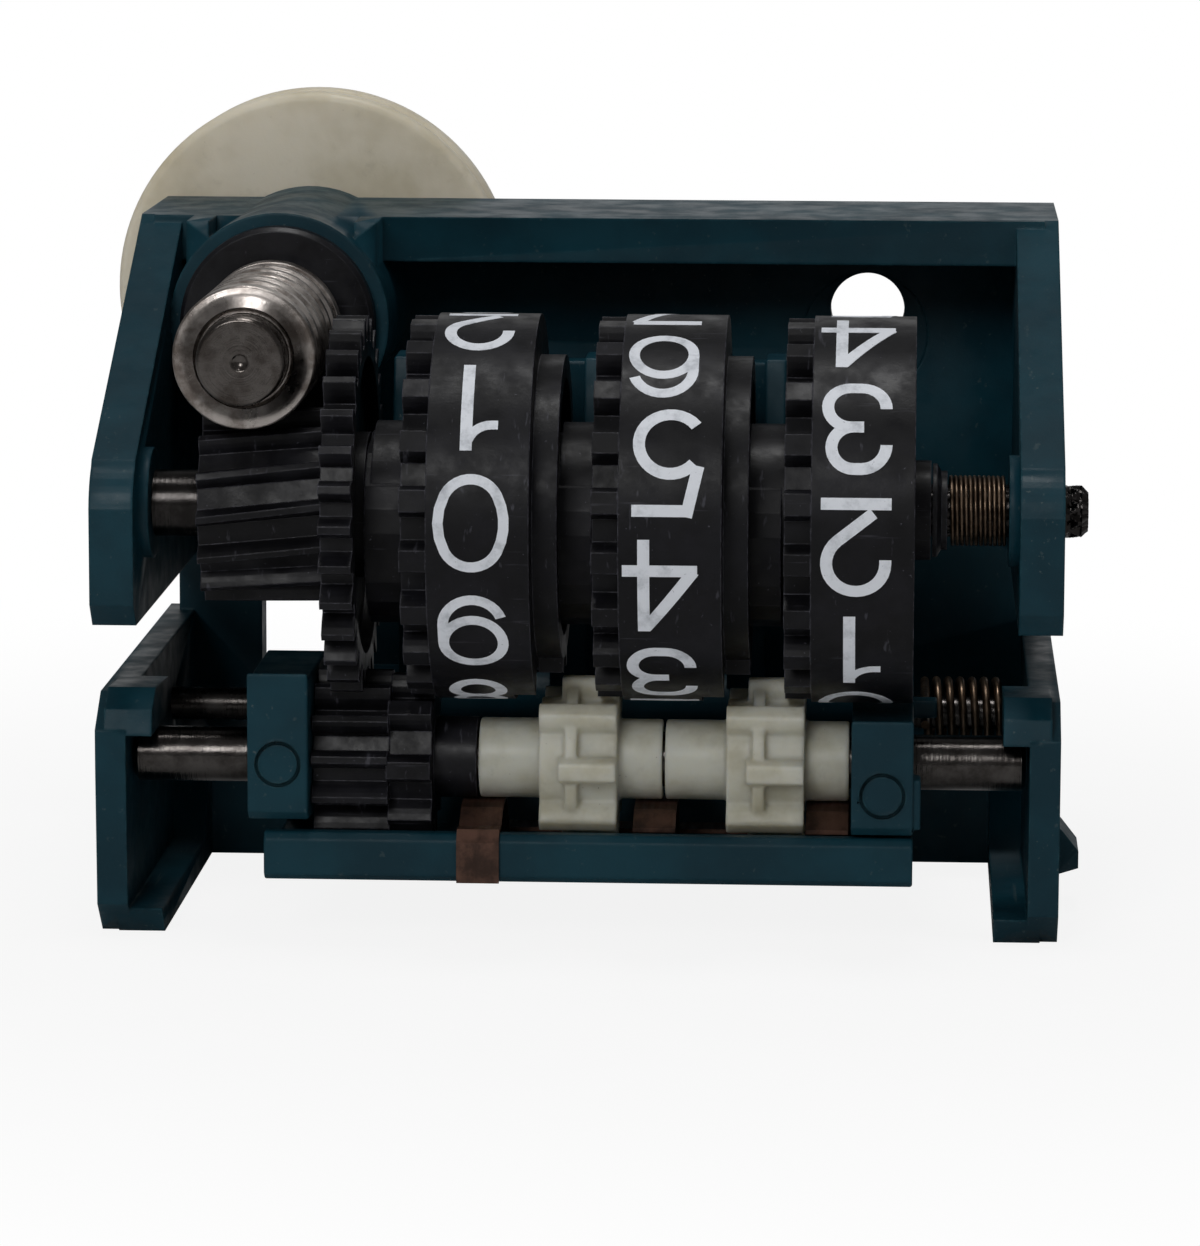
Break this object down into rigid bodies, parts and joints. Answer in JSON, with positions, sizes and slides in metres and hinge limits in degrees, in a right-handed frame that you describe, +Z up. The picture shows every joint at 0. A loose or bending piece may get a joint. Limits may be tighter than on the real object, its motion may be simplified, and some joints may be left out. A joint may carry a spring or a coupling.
{
  "type": "mechanical counter",
  "caption": "Resettable digit wheel counter: a belt pulley and worm turn the wheels on one shaft, and a swinging carrier holds the transfer pinions.",
  "frame": {"origin": "centre of the bounding box at the soles of the feet", "axes": "+X along the wheel shaft towards its crimped end, +Y to the rear where the pulley is, +Z up"},
  "size_m": [0.0358, 0.0306, 0.0276],
  "materials": {
    "moulded_housing": "dark teal moulded acetal, satin",
    "black_moulding": "black moulded acetal, satin",
    "ivory_moulding": "ivory moulded acetal, satin",
    "steel": "turned and ground steel",
    "spring_steel": "drawn spring wire and stamped clip",
    "copper_strip": "phosphor bronze strip, dull",
    "digit_print": "white pad printed digits"
  },
  "bodies": {
    "frame": {"housing": "moulded_housing", "wheel_shaft": "steel", "worm_bush": "black_moulding", "shaft_collar": "black_moulding", "axial_spring": "spring_steel", "pivot_pin": "steel", "carrier_spring": "spring_steel"},
    "worm_unit": {"worm": "steel", "drive_pulley": "ivory_moulding", "pulley_clip": "spring_steel"},
    "counter_gear": {"worm_wheel": "black_moulding"},
    "units": {"units_wheel": "black_moulding"},
    "tens": {"tens_wheel": "black_moulding"},
    "hundreds": {"hundreds_wheel": "black_moulding"},
    "carrier": {"pinion_carrier": "moulded_housing", "pinion_shaft": "steel", "brake_spring": "copper_strip"},
    "feed_pinion": {"drive_pinion": "black_moulding"},
    "tens_step": {"tens_pinion": "ivory_moulding"},
    "hundreds_step": {"hundreds_pinion": "ivory_moulding"}
  },
  "joints": [
    {"name": "drive_turn", "type": "hinge", "parent": "frame", "child": "worm_unit", "pos_m": [-0.01057, -0.0087, 0.02025], "axis": [0, 1, 0], "continuous": true},
    {"name": "worm_wheel_turn", "type": "hinge", "parent": "frame", "child": "counter_gear", "pos_m": [0.00057, -0.0087, 0.01485], "axis": [1, 0, 0], "continuous": true},
    {"name": "units_turn", "type": "hinge", "parent": "frame", "child": "units", "pos_m": [0.00057, -0.0087, 0.01485], "axis": [1, 0, 0], "continuous": true},
    {"name": "tens_turn", "type": "hinge", "parent": "frame", "child": "tens", "pos_m": [0.00057, -0.0087, 0.01485], "axis": [1, 0, 0], "continuous": true},
    {"name": "hundreds_turn", "type": "hinge", "parent": "frame", "child": "hundreds", "pos_m": [0.00057, -0.0087, 0.01485], "axis": [1, 0, 0], "continuous": true},
    {"name": "carrier_swing", "type": "hinge", "parent": "frame", "child": "carrier", "pos_m": [0.00057, 0.0023, 0.00595], "axis": [1, 0, 0], "range_deg": [0, 8], "stiffness_Nm_per_rad": 0.01, "springref_deg": -11.46, "deforming": ["carrier_spring"]},
    {"name": "drive_pinion_turn", "type": "hinge", "parent": "carrier", "child": "feed_pinion", "pos_m": [0.00057, -0.0087, 0.0061], "axis": [1, 0, 0], "continuous": true},
    {"name": "tens_pinion_turn", "type": "hinge", "parent": "carrier", "child": "tens_step", "pos_m": [0.00057, -0.0087, 0.0061], "axis": [1, 0, 0], "continuous": true},
    {"name": "hundreds_pinion_turn", "type": "hinge", "parent": "carrier", "child": "hundreds_step", "pos_m": [0.00057, -0.0087, 0.0061], "axis": [1, 0, 0], "continuous": true}
  ],
  "couplings": [
    {"joint": "worm_wheel_turn", "follows": "drive_turn", "ratio": -0.071429},
    {"joint": "drive_pinion_turn", "follows": "drive_turn", "ratio": 0.16484},
    {"joint": "units_turn", "follows": "drive_turn", "ratio": -0.065934},
    {"joint": "tens_pinion_turn", "follows": "tens_turn", "ratio": -2.5},
    {"joint": "hundreds_pinion_turn", "follows": "hundreds_turn", "ratio": -2.5}
  ]
}
